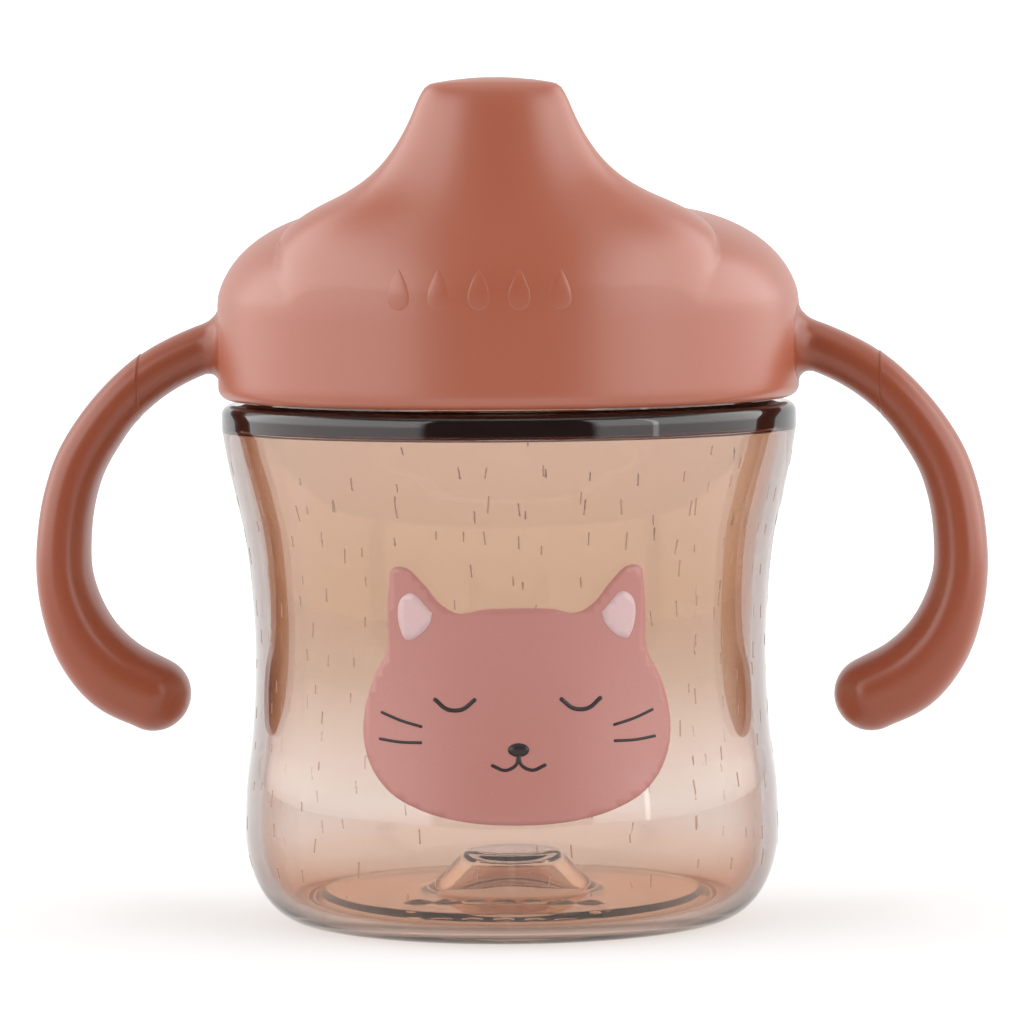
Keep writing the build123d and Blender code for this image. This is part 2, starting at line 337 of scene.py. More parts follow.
def start_material(material, wave_size, grain_size, gloss, bump):
    """Principled shader with the moulded surface group on its roughness and bump."""
    material.use_nodes = True
    tree = material.node_tree
    shader = tree.nodes["Principled BSDF"]
    surface = wired(tree, "ShaderNodeGroup", {
        "Wave Size": wave_size, "Grain Size": grain_size,
        "Gloss Low": gloss[0], "Gloss High": gloss[1],
    }, node_tree=moulded)
    relief = wired(tree, "ShaderNodeBump", {
        "Strength": bump, "Distance": 0.1 * mm, "Height": surface.outputs["Height"],
    })
    tree.links.new(surface.outputs["Roughness"], shader.inputs["Roughness"])
    tree.links.new(relief.outputs["Normal"], shader.inputs["Normal"])
    return shader, surface


def two_shades(material, share, dark, light):
    """Base colour that wanders between two close shades by a share from 0 to 1."""
    tree = material.node_tree
    vary = wired(tree, "ShaderNodeMix", {
        "A": (*dark, 1), "B": (*light, 1), "Factor": share,
    }, data_type="RGBA")
    tree.links.new(vary.outputs["Result"], tree.nodes["Principled BSDF"].inputs["Base Color"])


for material in (clear_plastic, tinted_plastic):
    shader, surface = start_material(material, 60, 2500, (0.0, 0.02), 0.03)
    shader.inputs["Transmission Weight"].default_value = 1
    shader.inputs["IOR"].default_value = 1.57


def tint_and_painted_light_by_height(material, stops):
    """Base colour in bands up the wall: the plastic's own tint with painted light and shade."""
    tree = material.node_tree
    place = tree.nodes.new("ShaderNodeTexCoord")
    split = wired(tree, "ShaderNodeSeparateXYZ", {0: place.outputs["Object"]})
    share = wired(tree, "ShaderNodeMapRange", {"Value": split.outputs["Z"], "From Max": neck_top})
    ramp = wired(tree, "ShaderNodeValToRGB", {"Fac": share.outputs["Result"]})
    while len(ramp.color_ramp.elements) < len(stops):
        ramp.color_ramp.elements.new(1.0)
    for element, (position, colour) in zip(ramp.color_ramp.elements, stops):
        element.position = position
        element.color = (*colour, 1)
    return ramp.outputs["Color"]


def lamps_pass(material, colour):
    """Lets light from lamps and off other pieces straight through the plastic, tinted."""
    tree = material.node_tree
    shader, finish = tree.nodes["Principled BSDF"], tree.nodes["Material Output"]
    kind = tree.nodes.new("ShaderNodeLightPath").outputs
    either = maths(tree, "MAXIMUM", kind["Is Shadow Ray"], kind["Is Diffuse Ray"])
    through = wired(tree, "ShaderNodeBsdfTransparent", {"Color": (*colour, 1)})
    blend = wired(tree, "ShaderNodeMixShader", {
        0: either, 1: shader.outputs[0], 2: through.outputs[0],
    })
    tree.links.new(blend.outputs[0], finish.inputs["Surface"])


# The outer wall: its own tint, with a painted dark band of shade just above the standing edge.
clear_tint_and_painted_shade = tint_and_painted_light_by_height(clear_plastic, [
    (0.0, (0.60, 0.46, 0.40)),
    (0.001, (0.60, 0.46, 0.40)),
    (0.002, (0.20, 0.12, 0.09)),
    (0.009, (0.24, 0.15, 0.11)),
    (0.013, (0.62, 0.47, 0.40)),
    (0.14, (0.62, 0.50, 0.45)),
    (0.35, (0.58, 0.45, 0.40)),
    (0.80, (0.56, 0.42, 0.37)),
])
# The inner wall: its own tint, with painted lighter and darker bands of light and shade up the
# wall.
inner_tint_and_painted_light = tint_and_painted_light_by_height(tinted_plastic, [
    (0.0, (0.98, 0.70, 0.50)),
    (0.09, (0.97, 0.74, 0.57)),
    (0.15, (0.95, 0.95, 0.95)),
    (0.35, (0.88, 0.76, 0.62)),
    (0.53, (0.78, 0.60, 0.42)),
    (0.73, (0.89, 0.73, 0.56)),
    (0.85, (0.92, 0.78, 0.63)),
])


def deeper_at_slant(material, tint, depth, start, end):
    """Deepens the tint where the wall is looked through at a slant, so through more plastic."""
    tree = material.node_tree
    slant = tree.nodes.new("ShaderNodeLayerWeight")
    deeper = wired(tree, "ShaderNodeMapRange", {
        "Value": slant.outputs["Facing"], "From Min": start, "From Max": end,
    })
    both = wired(tree, "ShaderNodeMix", {
        "A": tint, "B": (*depth, 1), "Factor": deeper.outputs["Result"],
    }, data_type="RGBA", blend_type="MULTIPLY")
    tree.links.new(both.outputs["Result"], tree.nodes["Principled BSDF"].inputs["Base Color"])


deeper_at_slant(clear_plastic, clear_tint_and_painted_shade, (0.36, 0.33, 0.34), 0.5, 0.72)
deeper_at_slant(tinted_plastic, inner_tint_and_painted_light, (0.62, 0.34, 0.20), 0.45, 0.75)
for material in (clear_plastic, tinted_plastic):
    lamps_pass(material, (0.95, 0.925, 0.905))

# The slope inside the shoulder is faced with an opaque dark finish. It stands in for the shade
# inside the lid, seen through the thick clear shoulder, and isn't a real dark part.
shoulder_shade = bpy.data.materials.new("shoulder_shade")
shade_shader, _ = start_material(shoulder_shade, 60, 2500, (0.3, 0.4), 0.05)
shade_shader.inputs["Specular IOR Level"].default_value = 0.2
shade_tree = shoulder_shade.node_tree
shade_place = shade_tree.nodes.new("ShaderNodeTexCoord")
shade_noise = wired(shade_tree, "ShaderNodeTexNoise", {
    "Vector": shade_place.outputs["Object"], "Scale": 80,
})
shade_dark, shade_light = (0.010, 0.0025, 0.001), (0.020, 0.0055, 0.003)
two_shades(shoulder_shade, shade_noise.outputs["Fac"], shade_dark, shade_light)
points, faces = capped_rings(rings)
cup = new_piece("cup_body_clear", points, faces, clear_plastic, tinted_plastic, shoulder_shade)
neck_outer_share = 0.8
outer_rows = len(underside) - 2 + len(quarter) - 1 + len(side) - 1
outer_rows += int(len(neck_outline) * neck_outer_share)
columns = len(turns)
inside = np.arange(len(faces)) >= outer_rows * columns
inside[-2 * columns:] = False
inside[-columns:] = True
row_middle = (cup_outline[:-1] + cup_outline[1:]) / 2
on_slope = (row_middle[:, 0] < rim_radius - cup_wall + 0.05 * mm)
on_slope &= row_middle[:, 1] > shoulder_base + 0.4 * mm
on_slope &= row_middle[:, 1] < shoulder_top - 0.05 * mm
wall_slot = inside.astype(np.int32)
wall_slot[:len(on_slope) * columns][np.repeat(on_slope, columns)] = 2
cup.data.polygons.foreach_set("material_index", wall_slot)
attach(cup, "cup")
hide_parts("cup_body")


# Printed face: screen-printed opaque ink on the outside of the cup, a plain sleeping
# kitten head in dusty pink with pale inner ears and fine dark features.
ink_middle = math.radians(-90 + 5.5)
ink_height = 32.5 * mm
ink_lift = 0.02 * mm
ink_depth = 0.05 * mm
outer_side = np.vstack([corner_arc(0, 0), side[1:]])


def on_cup(flat, lift):
    """Points on the outside of the cup from flat (across, up) places on the print."""
    flat = np.asarray(flat, float)
    height = ink_height + flat[:, 1]
    radius = np.interp(height, outer_side[:, 1], outer_side[:, 0]) + lift
    turn = ink_middle + flat[:, 0] / np.interp(ink_height, side[:, 1], side[:, 0])
    return np.stack([radius * np.cos(turn), radius * np.sin(turn), height], -1)


def ink_patch(name, outline, material, layer):
    """Thin closed layer of ink inside an outline, wrapped on the cup."""
    outline = np.asarray(outline, float)
    low, high = outline.min(0), outline.max(0)
    step = 1.0 * mm
    grid = np.meshgrid(np.arange(low[0], high[0], step), np.arange(low[1], high[1], step))
    loose = np.stack(grid, -1).reshape(-1, 2)
    inner = [p for p in loose if inside_outline(p, outline, 0.25 * step)]
    places = [Vector(p) for p in np.vstack([outline, *[[p] for p in inner]])]
    edges = [(i, (i + 1) % len(outline)) for i in range(len(outline))]
    flat, _, triangles, *_ = delaunay_2d_cdt(places, edges, [], 1, 1e-9)
    flat = np.array([tuple(p) for p in flat])
    count = len(flat)
    base = ink_lift + layer * ink_depth
    points = np.vstack([on_cup(flat, base + ink_depth), on_cup(flat, base - ink_depth)])
    faces = [tuple(t) for t in triangles] + [tuple(i + count for i in t[::-1]) for t in triangles]
    edge_use = {}
    for t in triangles:
        for a, b in zip(t, list(t[1:]) + [t[0]]):
            edge_use[a, b] = True
    rim = [(a, b) for a, b in edge_use if (b, a) not in edge_use]
    faces += [(b, a, a + count, b + count) for a, b in rim]
    piece = new_piece(name, points, faces, material, under_ink)
    beneath = np.zeros(len(faces), np.int32)
    beneath[len(triangles):2 * len(triangles)] = 1
    piece.data.polygons.foreach_set("material_index", beneath)
    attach(piece, "cup")
    return piece


def inside_outline(point, outline, margin):
    """Whether a flat point lies in an outline, at least margin from its edge."""
    x, y = point
    a, b = outline, np.roll(outline, -1, 0)
    crosses = (a[:, 1] > y) != (b[:, 1] > y)
    climb = np.where(b[:, 1] == a[:, 1], 1, b[:, 1] - a[:, 1])
    reach = a[:, 0] + (y - a[:, 1]) / climb * (b - a)[:, 0]
    odd = np.count_nonzero(crosses & (x < reach)) % 2 == 1
    edge = b - a
    share = np.clip(((point - a) * edge).sum(1) / (edge**2).sum(1), 0, 1)
    return odd and np.linalg.norm(a + edge * share[:, None] - point, axis=1).min() > margin


def ink_material(name, colour, roughness):
    """Opaque screen ink with a faint unevenness in its colour."""
    material = bpy.data.materials.new(name)
    _, surface = start_material(material, 300, 4000, (roughness, roughness + 0.1), 0.15)
    dark, light = [c * 0.93 for c in colour], [min(1, c * 1.07) for c in colour]
    two_shades(material, surface.outputs["Mottle"], dark, light)
    return material


def both_sides(half):
    """A symmetrical outline from its right half, listed from top middle to bottom middle."""
    half = np.asarray(half, float)
    left = half[::-1] * np.array([-1, 1])
    return np.vstack([half, left])


face_ink = ink_material("face_ink", (0.40, 0.165, 0.14), 0.35)
ear_ink = ink_material("ear_ink", (0.54, 0.36, 0.36), 0.35)
line_ink = ink_material("line_ink", (0.012, 0.004, 0.004), 0.4)
under_ink = ink_material("under_ink", (0.66, 0.50, 0.49), 0.4)
head_half = np.array([
    (0.6, 10.2), (4.0, 10.1), (7.6, 9.6), (9.4, 10.6), (11.6, 13.2), (14.2, 15.3), (15.4, 15.2),
    (16.2, 12.6), (16.6, 8.8), (16.9, 4.6), (18.6, 1.6), (20.0, -2.2), (20.2, -6.2), (18.9, -9.8),
    (16.0, -12.9), (11.8, -15.0), (7.0, -16.2), (0.6, -16.7),
]) * mm
head = flowing(both_sides(head_half), 160)
ink_patch("printed_head", head, face_ink, 0)
ear_half = np.array([
    (10.6, 9.6), (13.6, 12.0), (14.3, 11.6), (14.9, 7.6), (14.3, 6.3), (10.8, 8.6),
]) * mm
for side_sign, side_name in ((1, "right"), (-1, "left")):
    ear = flowing(np.vstack([ear_half, ear_half[:1]]), 40)[:-1] * np.array([side_sign, 1])
    ink_patch(f"printed_inner_ear_{side_name}", ear[::side_sign], ear_ink, 1)


def stroke(points, width, count=16):
    """Outline of a pen stroke along points, with round ends."""
    line = flowing(points, count)
    along = np.gradient(line, axis=0)
    along /= np.linalg.norm(along, axis=1)[:, None]
    across = np.stack([-along[:, 1], along[:, 0]], -1) * width / 2
    ends = np.radians([60, 30, 0, -30, -60])
    tip = [line[-1] + along[-1] * width / 2 * np.cos(a) + across[-1] * np.sin(a) for a in ends]
    tail = [line[0] - along[0] * width / 2 * np.cos(a) - across[0] * np.sin(a) for a in ends]
    return np.vstack([line + across, tip, (line - across)[::-1], tail])[::-1]


strokes = {
    "eye_right": ([(5.4, -1.2), (7.0, -2.4), (8.8, -2.4), (10.4, -1.2)], 0.5),
    "eye_left": ([(-10.4, -1.2), (-8.8, -2.4), (-7.0, -2.4), (-5.4, -1.2)], 0.5),
    "mouth_right": ([(0.0, -8.0), (0.3, -9.2), (1.6, -9.9), (3.2, -9.3)], 0.4),
    "mouth_left": ([(-3.2, -9.3), (-1.6, -9.9), (-0.3, -9.2), (0.0, -8.0)], 0.4),
    "whisker_right_top": ([(12.2, -4.6), (15.0, -3.9), (17.6, -3.0)], 0.34),
    "whisker_right_bottom": ([(12.2, -6.6), (15.0, -6.6), (17.8, -6.3)], 0.34),
    "whisker_left_top": ([(-17.6, -3.0), (-15.0, -3.9), (-12.2, -4.6)], 0.34),
    "whisker_left_bottom": ([(-17.8, -6.3), (-15.0, -6.6), (-12.2, -6.6)], 0.34),
}
for name, (points, width) in strokes.items():
    ink_patch(f"printed_{name}", stroke(np.array(points) * mm, width * mm), line_ink, 1)
nose_turns = np.linspace(0, 2 * math.pi, 20, endpoint=False)
nose = np.stack([1.3 * np.cos(nose_turns), 0.85 * np.sin(nose_turns) - 7.4], -1) * mm
ink_patch("printed_nose", nose, line_ink, 1)


# Printed strokes: short fine upright dashes of thin brown ink, scattered all round the cup
# in loose rows. Each follows the wall, and none crosses the printed face.
dash_ink = ink_material("dash_ink", (0.33, 0.19, 0.125), 0.4)
dash_radius = float(np.interp(36 * mm, side[:, 1], side[:, 0]))


def start_tree(name, inputs):
    """Geometry nodes tree with the given inputs and one geometry output."""
    tree = bpy.data.node_groups.new(name, "GeometryNodeTree")
    for label, kind in inputs.items():
        tree.interface.new_socket(label, in_out="INPUT", socket_type="NodeSocket" + kind)
    tree.interface.new_socket("Geometry", in_out="OUTPUT", socket_type="NodeSocketGeometry")
    return tree, tree.nodes.new("NodeGroupInput").outputs


def parts_of(tree, kind):
    """The X, Y and Z of a position or normal node."""
    whole = tree.nodes.new(kind).outputs[0]
    return wired(tree, "ShaderNodeSeparateXYZ", {0: whole}).outputs


def vector(tree, **parts):
    """Vector put together from its X, Y and Z."""
    return wired(tree, "ShaderNodeCombineXYZ", parts).outputs[0]


def scaled(tree, whole, share):
    """Vector times a number."""
    terms = {0: whole, "Scale": share}
    return wired(tree, "ShaderNodeVectorMath", terms, operation="SCALE").outputs[0]


def summed(tree, one, other):
    """Sum of two vectors."""
    return wired(tree, "ShaderNodeVectorMath", {0: one, 1: other}).outputs[0]


def dash_tree():
    """Geometry nodes: jittered flat grid of dashes in metres of arc, wrapped on to the wall."""
    tree, given = start_tree("printed_dashes", {
        "Cup": "Object", "Reach": "Float", "Low": "Float", "High": "Float", "Columns": "Int",
        "Rows": "Int", "Jitter": "Vector", "Dash Size": "Vector", "Seed": "Int",
        "Clear Half Width": "Float", "Clear Low": "Float", "Clear High": "Float",
        "Ink": "Material", "Under Ink": "Material",
    })
    tall = maths(tree, "SUBTRACT", given["High"], given["Low"])
    middle = maths(tree, "MULTIPLY", maths(tree, "ADD", given["High"], given["Low"]), 0.5)
    grid = wired(tree, "GeometryNodeMeshGrid", {
        "Size X": 2 * math.pi * dash_radius, "Size Y": tall,
        "Vertices X": given["Columns"], "Vertices Y": given["Rows"],
    })
    scatter = wired(tree, "FunctionNodeRandomValue", {
        "Min": scaled(tree, given["Jitter"], -1), "Max": given["Jitter"], "Seed": given["Seed"],
    }, data_type="FLOAT_VECTOR")
    move = wired(tree, "GeometryNodeSetPosition", {
        "Geometry": grid.outputs["Mesh"],
        "Offset": summed(tree, vector(tree, Y=middle), scatter.outputs[0]),
    })
    flat = parts_of(tree, "GeometryNodeInputPosition")
    from_front = maths(tree, "ABSOLUTE", flat["X"])
    off_side = maths(tree, "GREATER_THAN", from_front, given["Clear Half Width"])
    below = maths(tree, "LESS_THAN", flat["Y"], given["Clear Low"])
    above = maths(tree, "GREATER_THAN", flat["Y"], given["Clear High"])
    free = maths(tree, "MAXIMUM", off_side, maths(tree, "MAXIMUM", below, above))
    past_end = maths(tree, "GREATER_THAN", flat["Y"], given["High"])
    drop = wired(tree, "GeometryNodeDeleteGeometry", {
        "Geometry": move.outputs[0],
        "Selection": maths(tree, "MAXIMUM", maths(tree, "SUBTRACT", 1, free), past_end),
    })
    strip = wired(tree, "GeometryNodeMeshCube", {"Size": given["Dash Size"], "Vertices Y": 5})
    lengths = wired(tree, "FunctionNodeRandomValue", {"Min": 0.65, "Max": 1.35, "Seed": 5})
    lean = wired(tree, "FunctionNodeRandomValue", {"Min": -0.16, "Max": 0.12, "Seed": 8})
    turn = vector(tree, Z=lean.outputs[1])
    copies = wired(tree, "GeometryNodeInstanceOnPoints", {
        "Points": drop.outputs[0],
        "Instance": strip.outputs["Mesh"],
        "Scale": vector(tree, X=1, Y=lengths.outputs[1], Z=1),
        "Rotation": wired(tree, "FunctionNodeEulerToRotation", {0: turn}).outputs[0],
    })
    real = wired(tree, "GeometryNodeRealizeInstances", {0: copies.outputs[0]})
    under = wired(tree, "GeometryNodeSetMaterial", {
        "Geometry": real.outputs[0], "Material": given["Under Ink"],
    })
    sides = parts_of(tree, "GeometryNodeInputNormal")
    top = wired(tree, "GeometryNodeSetMaterial", {
        "Geometry": under.outputs[0], "Material": given["Ink"],
        "Selection": maths(tree, "GREATER_THAN", sides["Z"], -0.5),
    })
    share_round = maths(tree, "DIVIDE", flat["X"], dash_radius)
    angle = maths(tree, "SUBTRACT", share_round, math.pi / 2)
    outward = vector(tree, X=maths(tree, "COSINE", angle), Y=maths(tree, "SINE", angle))
    start = scaled(tree, outward, given["Reach"])
    wall = wired(tree, "GeometryNodeObjectInfo", {"Object": given["Cup"]})
    hit = wired(tree, "GeometryNodeRaycast", {
        "Target Geometry": wall.outputs["Geometry"],
        "Source Position": summed(tree, start, vector(tree, Z=flat["Y"])),
        "Ray Direction": scaled(tree, outward, -1),
    })
    depth = scaled(tree, outward, flat["Z"])
    wrap = wired(tree, "GeometryNodeSetPosition", {
        "Geometry": top.outputs[0],
        "Position": summed(tree, hit.outputs["Hit Position"], depth),
    })
    wired(tree, "NodeGroupOutput", {"Geometry": wrap.outputs[0]})
    return tree


def made_by_nodes(name, tree, values):
    """Plain mesh object from a geometry nodes tree with its inputs set."""
    holder = bpy.data.objects.new(name, bpy.data.meshes.new(name + "_start"))
    bpy.context.scene.collection.objects.link(holder)
    modifier = holder.modifiers.new(name, "NODES")
    modifier.node_group = tree
    for item in tree.interface.items_tree:
        if item.in_out == "INPUT" and item.name in values:
            modifier[item.identifier] = values[item.name]
    bpy.context.view_layer.update()
    seen = holder.evaluated_get(bpy.context.evaluated_depsgraph_get())
    mesh = bpy.data.meshes.new_from_object(seen)
    mesh.name = name
    holder.modifiers.clear()
    holder.data = mesh
    return holder


dashes = made_by_nodes("printed_dashes", dash_tree(), {
    "Cup": cup,
    "Reach": rim_radius + 8 * mm,
    "Low": 9 * mm,
    "High": 60 * mm,
    "Columns": 25,
    "Rows": 12,
    "Jitter": (2.6 * mm, 1.5 * mm, 0),
    "Dash Size": (0.19 * mm, 1.6 * mm, 0.06 * mm),
    "Seed": 12,
    "Clear Half Width": 21.5 * mm,
    "Clear Low": 14.5 * mm,
    "Clear High": 49.5 * mm,
    "Ink": dash_ink,
    "Under Ink": under_ink,
})
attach(dashes, "cup")


# Lid: a satin polypropylene screw lid. A plain skirt rises into a domed top, and a flattened
# spout grows out of its front wall, so that the two are one skin. It is hollow, with a thread
# inside the skirt and a shelf that presses on the seal.
lid_radius = rim_radius + 0.4 * mm
lid_bottom = shoulder_top + 0.6 * mm
lid_top = lid_bottom + 24.6 * mm
dome_width = 19 * mm
dome_height = 13 * mm
dome_base = lid_top - dome_height
dome_centre = lid_radius - dome_width
skirt_bore = neck_radius + thread_depth + 0.4 * mm
lid_wall = lid_radius - skirt_bore
lid_top_wall = 2.2 * mm
spout_height = 16.2 * mm
tip_half_width = 8.5 * mm
tip_half_depth = 4.5 * mm
tip_y = -(lid_radius - 9 * mm) + tip_half_depth
base_half_width = 21.1 * mm
front_slope = 9.0 / 28.2
root_ease = 8 * mm
shelf_level = neck_top + 1.6 * mm


def spout_oval(rise, inset):
    """Half width, middle and half depth of the spout at a height above the flat top."""
    share = np.clip((spout_height - rise) / spout_height, 0, 1)
    below = np.clip(-rise, 0, root_ease)
    spread = below - below**2 / (2 * root_ease)
    widening = 0.445 * share + 0.555 * share**3
    half_width = tip_half_width + (base_half_width - tip_half_width) * widening + 1.64 * spread
    front = tip_y - tip_half_depth - front_slope * np.clip(spout_height - rise, 0, None)
    back = tip_y + tip_half_depth + 11.5 * mm * share**2 + 1.42 * spread
    over = np.clip(rise - spout_height, 0, None)
    half_depth = (back - front) / 2
    return half_width - inset - 0.45 * over, (front + back) / 2, half_depth - inset - 0.3 * over


def spout_rise(x, y, inset):
    """Height above the flat top at which the spout's wall passes over a point."""
    low = np.full(x.shape, -spout_height)
    high = np.full(x.shape, spout_height + 12 * mm)
    for _ in range(36):
        middle = (low + high) / 2
        half_width, centre, half_depth = spout_oval(middle, inset)
        wide = np.maximum(half_width, 0.05 * mm)
        deep = np.maximum(half_depth, 0.05 * mm)
        within = (x / wide) ** 2 + ((y - centre) / deep) ** 2 < 1
        low = np.where(within, middle, low)
        high = np.where(within, high, middle)
    return low


def blended(a, b, reach):
    """Larger of two heights with the corner between them filled over reach."""
    mix = np.clip(reach - abs(a - b), 0, None) / reach
    return np.maximum(a, b) + mix * mix * reach / 4


def lid_height(x, y, inset=0.0, top_inset=0.0):
    """Height of the lid's skin over a point, moved in by inset and down by top_inset."""
    out = np.clip((np.hypot(x, y) - dome_centre) / (dome_width - inset), 0, 1)
    dome = dome_base + (dome_height - top_inset) * np.sqrt(1 - out * out)
    rise = spout_rise(x, y, inset)
    crown = 0.9 * mm * ((x / tip_half_width) ** 2 + ((y - tip_y) / tip_half_depth) ** 2)
    cap = spout_height - top_inset + 0.2 * mm - np.clip(crown, 0, 2 * mm)
    rise = -blended(-rise, -cap, 2.6 * mm)
    return blended(dome, lid_top + rise, 8.0 * mm)


lid_columns = 288
lid_turns = np.linspace(0, 2 * math.pi, lid_columns, endpoint=False)
unit = np.stack([np.cos(lid_turns), np.sin(lid_turns)], -1)


def lid_top_rings(radius, inset, top_inset, rows, cap_rows):
    """Rings of the lid's top from the wall at radius up to the middle of the spout's tip."""
    wall = unit * radius
    tip = unit * np.array([tip_half_width - inset, tip_half_depth - inset]) + np.array([0, tip_y])
    share = np.linspace(0, 1, rows)
    share = 0.6 * (1 - np.cos(math.pi * share)) / 2 + 0.4 * share
    flat = wall[None] * (1 - share)[:, None, None] + tip[None] * share[:, None, None]
    shrink = np.linspace(1, 0.03, cap_rows)[1:, None, None]
    middle = np.array([0, tip_y])
    flat = np.concatenate([flat, middle + (tip - middle)[None] * shrink])
    height = lid_height(flat[..., 0], flat[..., 1], inset, top_inset)
    return np.concatenate([flat, height[..., None]], -1)


def round_rings(outline):
    """Rings round the axis from (radius, height) points."""
    outline = np.asarray(outline)
    flat = outline[:, 0][:, None, None] * unit[None]
    height = np.repeat(outline[:, 1][:, None], lid_columns, 1)
    return np.concatenate([flat, height[..., None]], -1)


outer_skirt = spaced(rounded([
    (skirt_bore, lid_bottom, 0),
    (lid_radius, lid_bottom, 1.6 * mm),
    (lid_radius, dome_base, 0),
], 8), 0.9 * mm)[1:-1]
inner_skirt = spaced(np.array([(skirt_bore, shelf_level), (skirt_bore, lid_bottom)]), 0.4 * mm)
shelf = rounded([
    (skirt_bore - 0.2 * mm, shelf_level + 1.3 * mm, 0),
    (skirt_bore - 3 * mm, shelf_level + 1.3 * mm, 0.4 * mm),
    (skirt_bore - 3 * mm, shelf_level, 0.4 * mm),
    (skirt_bore, shelf_level, 0),
])
inner_rings = lid_top_rings(skirt_bore - 0.2 * mm, lid_wall + 0.2 * mm, lid_top_wall, 44, 8)[::-1]
skirt_rings = round_rings(inner_skirt[1:])
overlap = neck_radius + thread_depth - (skirt_bore - thread_depth)
ridge_offset = thread_crest + (thread_root - thread_crest) / thread_depth * overlap / 2 + 0.3 * mm
ridge = ridge_height(lid_turns[None], skirt_rings[..., 2], thread_level - ridge_offset)
skirt_rings[..., :2] *= (1 - ridge / skirt_bore)[..., None]
lid_rings = np.concatenate([
    inner_rings[:-1],
    round_rings(shelf),
    skirt_rings,
    round_rings(outer_skirt),
    lid_top_rings(lid_radius, 0.0, 0.0, 96, 16),
])
points, faces = capped_rings(lid_rings)


def polypropylene(name, light, dark, gloss, bump, shine):
    """Coloured satin polypropylene: two close shades mottled by the moulding."""
    material = bpy.data.materials.new(name)
    shader, surface = start_material(material, 45, 1600, gloss, bump)
    two_shades(material, surface.outputs["Mottle"], dark, light)
    shader.inputs["Specular IOR Level"].default_value = shine
    return material


lid_light, lid_dark = (0.345, 0.092, 0.048), (0.33, 0.086, 0.044)
lid_plastic = polypropylene("lid_plastic", lid_light, lid_dark, (0.285, 0.36), 0.3, 0.8)
lid = new_piece("lid_shell_satin", points, faces, lid_plastic)
holes = []


def drill(name, x, y, radius, low, high):
    """Cutter for a round hole down through the lid."""
    turn = np.linspace(0, 2 * math.pi, 32, endpoint=False)
    ring = np.stack([x + radius * np.cos(turn), y + radius * np.sin(turn)], -1)
    rows = [np.column_stack([ring, np.full(32, z)]) for z in (low, high)]
    points, faces = capped_rings(np.array(rows))
    cutter = new_piece(name, points, faces)
    holes.append(cutter)
    return cutter


for i in (-1, 0, 1):
    drill(f"drink_hole_{i}", 4 * mm * i, tip_y, 0.8 * mm, lid_top + 10 * mm, lid_top + 20 * mm)
vent_y = lid_radius - 23.5 * mm
drill("vent_hole", 0, vent_y, 0.7 * mm, lid_top - 4 * mm, lid_top + 3 * mm)
for cutter in holes:
    cut = lid.modifiers.new(cutter.name, "BOOLEAN")
    cut.operation = "DIFFERENCE"
    cut.solver = "EXACT"
    cut.object = cutter
bpy.context.view_layer.update()
drilled = bpy.data.meshes.new_from_object(lid.evaluated_get(bpy.context.evaluated_depsgraph_get()))
lid.modifiers.clear()
lid.data = drilled
for cutter in holes:
    bpy.data.objects.remove(cutter)
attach(lid, "lid")
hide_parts("lid_shell")


# Raised drops: a row of small plain drops moulded on the front of the lid, barely proud of
# it and in the same plastic, each laid on the wall where it curves into the spout.


def drop_tree():
    """Geometry nodes: a row of drops, flattened and laid on the lid by a raycast."""
    tree, given = start_tree("raised_drops", {
        "Lid": "Object", "Count": "Int", "First": "Vector", "Pitch": "Vector",
        "Half Size": "Vector", "Relief": "Float", "Reach": "Float", "Plastic": "Material",
    })
    row = wired(tree, "GeometryNodeMeshLine", {
        "Count": given["Count"], "Start Location": given["First"], "Offset": given["Pitch"],
    })
    ball = wired(tree, "GeometryNodeMeshIcoSphere", {"Radius": 1, "Subdivisions": 4})
    parts = parts_of(tree, "GeometryNodeInputPosition")
    waist = maths(tree, "MULTIPLY_ADD", parts["Z"], -0.42, 0.75)
    narrow = maths(tree, "MULTIPLY", parts["X"], waist)
    shape = vector(tree, X=narrow, Y=parts["Y"], Z=parts["Z"])
    sized = wired(tree, "ShaderNodeVectorMath", {
        0: shape, 1: given["Half Size"],
    }, operation="MULTIPLY")
    drop = wired(tree, "GeometryNodeSetPosition", {
        "Geometry": ball.outputs["Mesh"], "Position": sized.outputs[0],
    })
    copies = wired(tree, "GeometryNodeInstanceOnPoints", {
        "Points": row.outputs[0], "Instance": drop.outputs[0],
    })
    real = wired(tree, "GeometryNodeRealizeInstances", {0: copies.outputs[0]})
    flat = parts_of(tree, "GeometryNodeInputPosition")
    before = maths(tree, "MULTIPLY", given["Reach"], -1)
    shell = wired(tree, "GeometryNodeObjectInfo", {"Object": given["Lid"]})
    hit = wired(tree, "GeometryNodeRaycast", {
        "Target Geometry": shell.outputs["Geometry"],
        "Source Position": vector(tree, X=flat["X"], Y=before, Z=flat["Z"]),
        "Ray Direction": (0, 1, 0),
    })
    rise = maths(tree, "MULTIPLY", flat["Y"], given["Relief"])
    lift = scaled(tree, hit.outputs["Hit Normal"], rise)
    lay = wired(tree, "GeometryNodeSetPosition", {
        "Geometry": real.outputs[0],
        "Position": summed(tree, hit.outputs["Hit Position"], lift),
    })
    paint = wired(tree, "GeometryNodeSetMaterial", {
        "Geometry": lay.outputs[0], "Material": given["Plastic"],
    })
    wired(tree, "NodeGroupOutput", {"Geometry": paint.outputs[0]})
    return tree


drops = made_by_nodes("raised_drops", drop_tree(), {
    "Lid": lid,
    "Count": 5,
    "First": (-11.0 * mm, 0, dome_base + 3.2 * mm),
    "Pitch": (5.0 * mm, 0, 0),
    "Half Size": (1.6 * mm, 1.0 * mm, 2.5 * mm),
    "Relief": -0.08,
    "Reach": lid_radius + 20 * mm,
    "Plastic": lid_plastic,
})
drops.data.shade_smooth()
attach(drops, "lid")


# Valve seats: two round stubs under the lid's ceiling, part of the lid moulding. The front
# one opens into the spout.
stub_end = lid_top - lid_top_wall - 5.8 * mm


